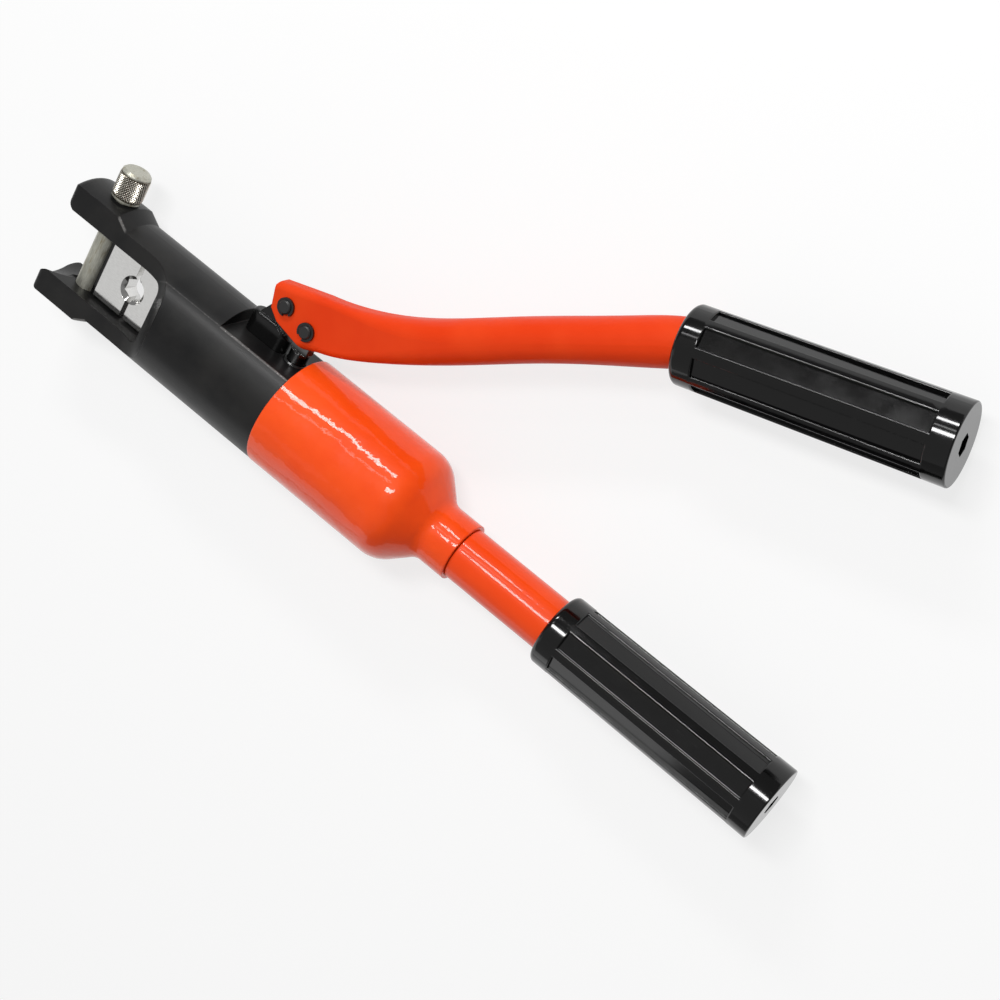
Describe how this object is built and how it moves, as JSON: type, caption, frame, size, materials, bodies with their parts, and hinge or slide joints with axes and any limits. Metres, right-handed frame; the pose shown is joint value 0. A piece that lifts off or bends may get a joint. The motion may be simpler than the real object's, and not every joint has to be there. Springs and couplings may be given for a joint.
{
  "type": "hand hydraulic crimping tool",
  "caption": "Hand hydraulic crimping tool: forked head with hexagon dies and a pull-out latch pin, pump lever, oil reservoir and fluted grips, for pressing terminals onto cable.",
  "frame": {"origin": "centre of the closed hexagonal crimp nest, on the body axis and halfway through the dies", "axes": "+X along the body axis from the fork to the fixed grip, +Y towards the lever, +Z along the cable axis, up when the tool lies on its side"},
  "size_m": [0.3625, 0.1933, 0.0484],
  "materials": {
    "black_oxide": "satin black oxide",
    "bracket_black": "glossy black",
    "die_steel": "polished",
    "pin_steel": "satin",
    "ram_steel": "ground",
    "plunger_steel": "ground and plated",
    "link_steel": "turned",
    "clip_black": "blackened spring steel",
    "gland_dark": "blackened",
    "orange_paint": "gloss paint",
    "tube_paint": "gloss paint",
    "lever_paint": "paint",
    "grip_plastic": "gloss moulded",
    "seal_rubber": "oiled",
    "backup_plastic": "smooth",
    "spring_steel": "oiled",
    "inner_steel": "turned"
  },
  "bodies": {
    "frame": {"cylinder_body": "black_oxide", "upper_die": "die_steel", "die_seat": "bracket_black", "spring_rod": "inner_steel", "pivot_bracket": "bracket_black", "plunger_gland": "gland_dark", "plunger_seal": "seal_rubber", "inlet_ball": "inner_steel", "inlet_spring": "spring_steel", "inlet_cap": "inner_steel", "outlet_ball": "inner_steel", "outlet_cap": "inner_steel", "relief_ball": "inner_steel", "relief_spring": "spring_steel", "relief_screw": "inner_steel", "release_ball": "inner_steel", "drain_plug": "inner_steel", "reservoir_housing": "orange_paint", "housing_seal": "seal_rubber", "oil_bladder": "seal_rubber", "bladder_clamp": "inner_steel", "stem_seal": "seal_rubber", "detent_ball": "inner_steel", "detent_spring": "spring_steel", "detent_screw": "inner_steel"},
    "ram": {"ram": "ram_steel", "ram_seal": "seal_rubber", "ram_backup_ring": "backup_plastic", "spring_retainer": "inner_steel", "return_spring": "spring_steel", "lower_die": "die_steel"},
    "lever": {"lever_arm": "lever_paint", "lever_grip": "grip_plastic", "pivot_pin": "link_steel", "plunger_pin": "link_steel", "pin_clips": "clip_black"},
    "plunger": {"pump_plunger": "plunger_steel"},
    "latch": {"latch_pin": "pin_steel"},
    "release": {"handle_tube": "tube_paint", "handle_grip": "grip_plastic", "release_stem": "inner_steel", "handle_retainer": "inner_steel"}
  },
  "joints": [
    {"name": "ram_advance", "type": "slide", "parent": "frame", "child": "ram", "axis": [-1, 0, 0], "range_m": [-0.011, 0.0016], "deforming": ["return_spring"]},
    {"name": "lever_swing", "type": "hinge", "parent": "frame", "child": "lever", "pos_m": [0.0637, 0.0375, 0], "axis": [0, 0, 1], "range_deg": [-16, 8]},
    {"name": "plunger_stroke", "type": "slide", "parent": "frame", "child": "plunger", "axis": [0, 1, 0], "range_m": [-0.00328, 0.00164]},
    {"name": "latch_pull", "type": "slide", "parent": "frame", "child": "latch", "axis": [0, 1, 0], "range_m": [0, 0.07]},
    {"name": "release_turn", "type": "hinge", "parent": "frame", "child": "release", "pos_m": [0.16, 0, 0], "axis": [1, 0, 0], "range_deg": [0, 90]}
  ],
  "couplings": [
    {"joint": "plunger_stroke", "follows": "lever_swing", "m_per_rad": 0.0117}
  ]
}
